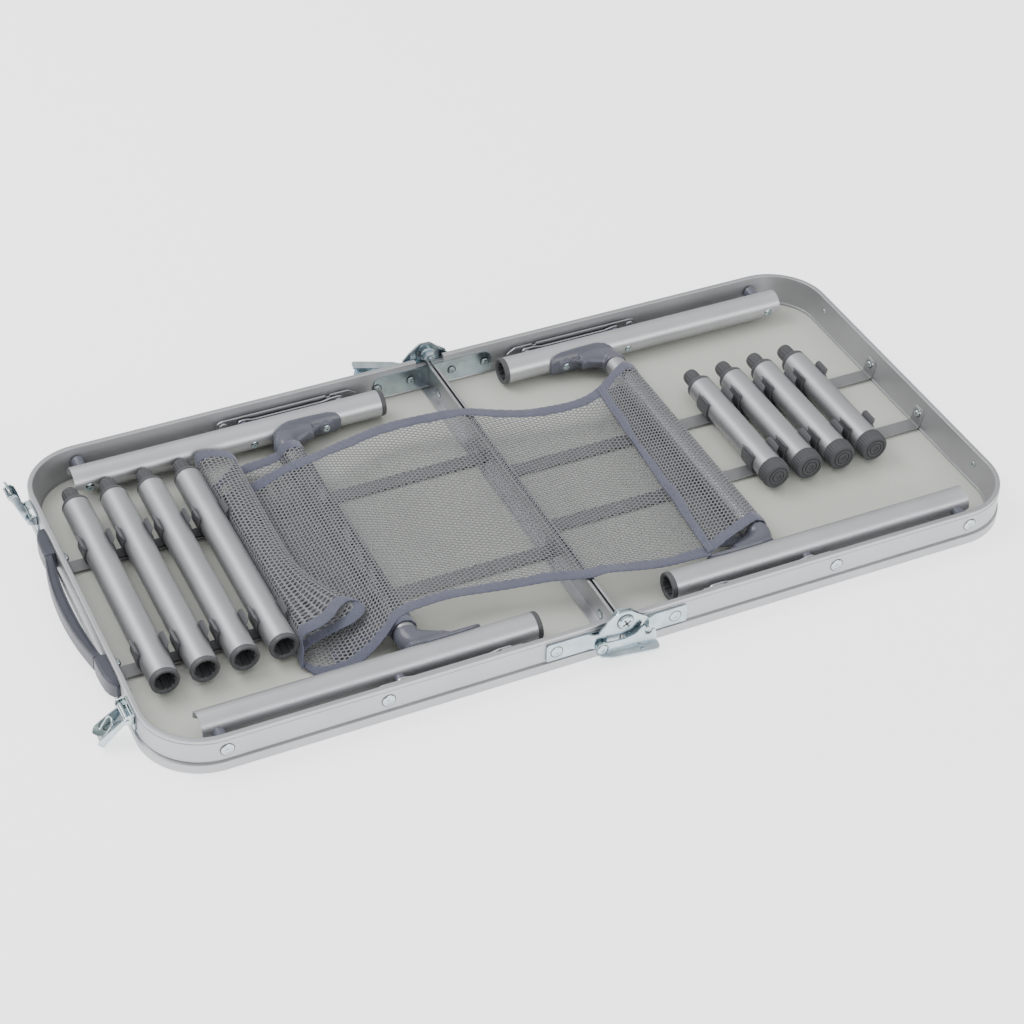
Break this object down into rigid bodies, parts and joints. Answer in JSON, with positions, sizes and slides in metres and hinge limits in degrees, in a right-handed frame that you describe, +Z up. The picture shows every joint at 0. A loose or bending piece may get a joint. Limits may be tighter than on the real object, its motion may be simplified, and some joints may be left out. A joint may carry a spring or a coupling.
{
  "type": "folding table",
  "caption": "Folding suitcase table lying open on its top: two aluminium trays hinged together, with folded legs, stays, a net and tube extensions clipped inside.",
  "frame": {"origin": "under the middle of the outline, on the plane the table top lies on", "axes": "+X along the table towards the half without the handle, +Z up away from the table top, +Y to the side of the unlocked hinge lever"},
  "size_m": [0.8302, 0.434, 0.0662],
  "materials": {
    "rim_aluminium": "satin",
    "rail_aluminium": "satin",
    "tube_aluminium": "satin",
    "board_laminate": "matte",
    "strap_paint": "satin",
    "clip_plastic": "matte",
    "elbow_plastic": "gloss",
    "handle_plastic": "gloss",
    "stay_metal": "satin",
    "hinge_zinc": "zinc plated",
    "latch_metal": "zinc plated",
    "net_knit": "open knit"
  },
  "bodies": {
    "left_half": {"rim_left": "rim_aluminium", "board_left": "board_laminate", "centre_rail_left": "rail_aluminium", "strap_left_front": "strap_paint", "clip_row_left_front": "clip_plastic", "hinge_plate_left_front": "hinge_zinc", "strap_left_back": "strap_paint", "clip_row_left_back": "clip_plastic", "hinge_plate_left_back": "hinge_zinc", "net_panel_left": "net_knit", "handle_mount_front": "handle_plastic", "latch_base_front": "latch_metal", "handle_mount_back": "handle_plastic", "latch_base_back": "latch_metal"},
    "right_half": {"rim_right": "rim_aluminium", "board_right": "board_laminate", "centre_rail_right": "rail_aluminium", "strap_right_front": "strap_paint", "clip_row_right_front": "clip_plastic", "hinge_plate_right_front": "hinge_zinc", "strap_right_back": "strap_paint", "clip_row_right_back": "clip_plastic", "hinge_plate_right_back": "hinge_zinc", "net_panel_right": "net_knit"},
    "legs_left": {"leg_left_front": "tube_aluminium", "elbow_left_front": "elbow_plastic", "leg_left_back": "tube_aluminium", "elbow_left_back": "elbow_plastic", "cross_tube_left": "tube_aluminium", "net_fold_left": "net_knit"},
    "legs_right": {"leg_right_front": "tube_aluminium", "elbow_right_front": "elbow_plastic", "leg_right_back": "tube_aluminium", "elbow_right_back": "elbow_plastic", "cross_tube_right": "tube_aluminium", "net_sleeve_right": "net_knit"},
    "stay_rim_left_front": {"stay_rim_link_left_front": "stay_metal"},
    "stay_leg_left_front": {"stay_leg_link_left_front": "stay_metal"},
    "stay_rim_left_back": {"stay_rim_link_left_back": "stay_metal"},
    "stay_leg_left_back": {"stay_leg_link_left_back": "stay_metal"},
    "stay_rim_right_front": {"stay_rim_link_right_front": "stay_metal"},
    "stay_leg_right_front": {"stay_leg_link_right_front": "stay_metal"},
    "stay_rim_right_back": {"stay_rim_link_right_back": "stay_metal"},
    "stay_leg_right_back": {"stay_leg_link_right_back": "stay_metal"},
    "lock_lever_front": {"lock_lever_front": "hinge_zinc"},
    "lock_lever_back": {"lock_lever_back": "hinge_zinc"},
    "handle_grip": {"handle_grip": "handle_plastic"},
    "latch_lever_front": {"latch_lever_front": "latch_metal"},
    "latch_hook_front": {"latch_hook_front": "latch_metal"},
    "latch_lever_back": {"latch_lever_back": "latch_metal"},
    "latch_hook_back": {"latch_hook_back": "latch_metal"},
    "extension_long_1": {"extension_long_1": "tube_aluminium"},
    "extension_long_2": {"extension_long_2": "tube_aluminium"},
    "extension_long_3": {"extension_long_3": "tube_aluminium"},
    "extension_long_4": {"extension_long_4": "tube_aluminium"},
    "extension_short_1": {"extension_short_1": "tube_aluminium"},
    "extension_short_2": {"extension_short_2": "tube_aluminium"},
    "extension_short_3": {"extension_short_3": "tube_aluminium"},
    "extension_short_4": {"extension_short_4": "tube_aluminium"}
  },
  "joints": [
    {"name": "centre_fold", "type": "hinge", "parent": "left_half", "child": "right_half", "pos_m": [0.01342, 0, 0.036], "axis": [0, 1, 0], "range_deg": [-180, 0]},
    {"name": "legs_left_fold", "type": "hinge", "parent": "left_half", "child": "legs_left", "pos_m": [-0.33058, 0, 0.021], "axis": [0, -1, 0], "range_deg": [0, 90]},
    {"name": "legs_right_fold", "type": "hinge", "parent": "right_half", "child": "legs_right", "pos_m": [0.35742, 0, 0.021], "axis": [0, 1, 0], "range_deg": [0, 90]},
    {"name": "stay_rim_left_front_turn", "type": "hinge", "parent": "left_half", "child": "stay_rim_left_front", "pos_m": [-0.19458, -0.188, 0.021], "axis": [0, -1, 0], "range_deg": [0, 131.45]},
    {"name": "stay_leg_left_front_turn", "type": "hinge", "parent": "stay_rim_left_front", "child": "stay_leg_left_front", "pos_m": [-0.08285, -0.188, 0.021], "axis": [0, 1, 0], "range_deg": [0, 180]},
    {"name": "stay_rim_left_back_turn", "type": "hinge", "parent": "left_half", "child": "stay_rim_left_back", "pos_m": [-0.19458, 0.188, 0.021], "axis": [0, -1, 0], "range_deg": [0, 131.45]},
    {"name": "stay_leg_left_back_turn", "type": "hinge", "parent": "stay_rim_left_back", "child": "stay_leg_left_back", "pos_m": [-0.08285, 0.188, 0.021], "axis": [0, 1, 0], "range_deg": [0, 180]},
    {"name": "stay_rim_right_front_turn", "type": "hinge", "parent": "right_half", "child": "stay_rim_right_front", "pos_m": [0.22142, -0.188, 0.021], "axis": [0, 1, 0], "range_deg": [0, 131.45]},
    {"name": "stay_leg_right_front_turn", "type": "hinge", "parent": "stay_rim_right_front", "child": "stay_leg_right_front", "pos_m": [0.10969, -0.188, 0.021], "axis": [0, -1, 0], "range_deg": [0, 180]},
    {"name": "stay_rim_right_back_turn", "type": "hinge", "parent": "right_half", "child": "stay_rim_right_back", "pos_m": [0.22142, 0.188, 0.021], "axis": [0, 1, 0], "range_deg": [0, 131.45]},
    {"name": "stay_leg_right_back_turn", "type": "hinge", "parent": "stay_rim_right_back", "child": "stay_leg_right_back", "pos_m": [0.10969, 0.188, 0.021], "axis": [0, -1, 0], "range_deg": [0, 180]},
    {"name": "lock_front_turn", "type": "hinge", "parent": "left_half", "child": "lock_lever_front", "pos_m": [-0.00858, -0.206, 0.016], "axis": [0, 1, 0], "range_deg": [-170, 0]},
    {"name": "lock_back_turn", "type": "hinge", "parent": "left_half", "child": "lock_lever_back", "pos_m": [-0.00858, 0.206, 0.016], "axis": [0, 1, 0], "range_deg": [0, 170]},
    {"name": "handle_turn", "type": "hinge", "parent": "left_half", "child": "handle_grip", "pos_m": [-0.39458, 0, 0.022], "axis": [0, 1, 0], "range_deg": [-40, 40]},
    {"name": "latch_front_turn", "type": "hinge", "parent": "left_half", "child": "latch_lever_front", "pos_m": [-0.39308, -0.133, 0.026], "axis": [0, -1, 0], "range_deg": [-126, 0]},
    {"name": "hook_front_turn", "type": "hinge", "parent": "latch_lever_front", "child": "latch_hook_front", "pos_m": [-0.41166, -0.133, 0.00927], "axis": [0, 1, 0], "range_deg": [-165, 0]},
    {"name": "latch_back_turn", "type": "hinge", "parent": "left_half", "child": "latch_lever_back", "pos_m": [-0.39308, 0.133, 0.026], "axis": [0, -1, 0], "range_deg": [-16, 110]},
    {"name": "hook_back_turn", "type": "hinge", "parent": "latch_lever_back", "child": "latch_hook_back", "pos_m": [-0.40244, 0.133, 0.04918], "axis": [0, 1, 0], "range_deg": [0, 165]},
    {"name": "extension_long_1_lift", "type": "slide", "parent": "left_half", "child": "extension_long_1", "axis": [0, 0, 1], "range_m": [0, 0.06]},
    {"name": "extension_long_2_lift", "type": "slide", "parent": "left_half", "child": "extension_long_2", "axis": [0, 0, 1], "range_m": [0, 0.06]},
    {"name": "extension_long_3_lift", "type": "slide", "parent": "left_half", "child": "extension_long_3", "axis": [0, 0, 1], "range_m": [0, 0.06]},
    {"name": "extension_long_4_lift", "type": "slide", "parent": "left_half", "child": "extension_long_4", "axis": [0, 0, 1], "range_m": [0, 0.06]},
    {"name": "extension_short_1_lift", "type": "slide", "parent": "right_half", "child": "extension_short_1", "axis": [0, 0, 1], "range_m": [0, 0.06]},
    {"name": "extension_short_2_lift", "type": "slide", "parent": "right_half", "child": "extension_short_2", "axis": [0, 0, 1], "range_m": [0, 0.06]},
    {"name": "extension_short_3_lift", "type": "slide", "parent": "right_half", "child": "extension_short_3", "axis": [0, 0, 1], "range_m": [0, 0.06]},
    {"name": "extension_short_4_lift", "type": "slide", "parent": "right_half", "child": "extension_short_4", "axis": [0, 0, 1], "range_m": [0, 0.06]}
  ],
  "couplings": [
    {"joint": "stay_rim_left_front_turn", "follows": "legs_left_fold", "ratio": 1.4605},
    {"joint": "stay_leg_left_front_turn", "follows": "legs_left_fold", "ratio": 2},
    {"joint": "stay_rim_left_back_turn", "follows": "legs_left_fold", "ratio": 1.4605},
    {"joint": "stay_leg_left_back_turn", "follows": "legs_left_fold", "ratio": 2},
    {"joint": "stay_rim_right_front_turn", "follows": "legs_right_fold", "ratio": 1.4605},
    {"joint": "stay_leg_right_front_turn", "follows": "legs_right_fold", "ratio": 2},
    {"joint": "stay_rim_right_back_turn", "follows": "legs_right_fold", "ratio": 1.4605},
    {"joint": "stay_leg_right_back_turn", "follows": "legs_right_fold", "ratio": 2}
  ]
}
